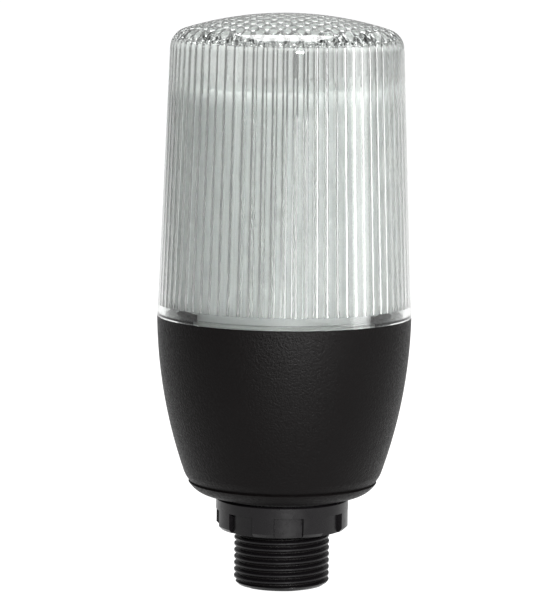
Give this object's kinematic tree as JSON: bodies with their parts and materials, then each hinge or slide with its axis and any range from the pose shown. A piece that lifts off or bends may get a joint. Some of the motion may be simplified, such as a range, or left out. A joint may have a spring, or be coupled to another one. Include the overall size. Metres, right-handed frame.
{
  "type": "stack light",
  "caption": "Single-tier signal light: clear ribbed lens with a beaded crown on a black tapered housing, hollow threaded stem with ring nut for a round panel hole.",
  "frame": {"origin": "on the stem's axis, at the shoulder of the mounting base, the face that presses the gasket on the panel", "axes": "+Z along the stem's axis, from the stem up to the lens; -Y to the front"},
  "size_m": [0.0584, 0.0584, 0.1316],
  "materials": {
    "clear_polycarbonate": "clear, smooth outside, ribbed and beaded inside",
    "black_rubber": "matt",
    "black_plastic": "fine spark-eroded texture",
    "white_plastic": "smooth",
    "opal_plastic": "smooth, milky",
    "screw_steel": "zinc plated",
    "white_board": "white solder mask",
    "led_body": "clear cap over phosphor",
    "green_board": "green solder mask",
    "green_terminal": "moulded",
    "wire_insulation": "smooth",
    "capacitor_sleeve": "shrink sleeve",
    "black_epoxy": "moulded"
  },
  "bodies": {
    "housing": {"lens_seal": "black_rubber", "housing": "black_plastic", "mounting_base": "black_plastic", "reflector_plate": "white_plastic", "plate_screws": "screw_steel", "diffuser": "opal_plastic", "led_mast": "white_plastic", "mast_screws": "screw_steel", "top_board": "white_board", "top_leds": "led_body", "driver_board": "green_board", "board_screws": "screw_steel", "terminal_block": "green_terminal", "terminal_screws": "screw_steel", "wire_socket": "white_plastic", "wire_plug": "white_plastic", "led_wires": "wire_insulation", "capacitor": "capacitor_sleeve", "rectifier": "black_epoxy", "controller_chip": "black_epoxy", "resistors": "black_epoxy", "led_board_front": "white_board", "leds_front": "led_body", "led_board_right": "white_board", "leds_right": "led_body", "led_board_back": "white_board", "leds_back": "led_body", "led_board_left": "white_board", "leds_left": "led_body"},
    "lens": {"lens": "clear_polycarbonate"},
    "gasket": {"mounting_gasket": "black_rubber"},
    "nut": {"mounting_nut": "black_plastic"}
  },
  "joints": [
    {"name": "lens_twist", "type": "hinge", "parent": "housing", "child": "lens", "pos_m": [0, 0, 0.0412], "axis": [0, 0, 1], "range_deg": [0, 20]},
    {"name": "nut_travel", "type": "slide", "parent": "housing", "child": "gasket", "axis": [0, 0, 1], "range_m": [-0.018, 0]},
    {"name": "nut_turn", "type": "hinge", "parent": "gasket", "child": "nut", "pos_m": [0, 0, -0.004], "axis": [0, 0, 1], "range_deg": [-4320, 0]}
  ],
  "couplings": [
    {"joint": "nut_travel", "follows": "nut_turn", "m_per_rad": 0.00023873}
  ]
}
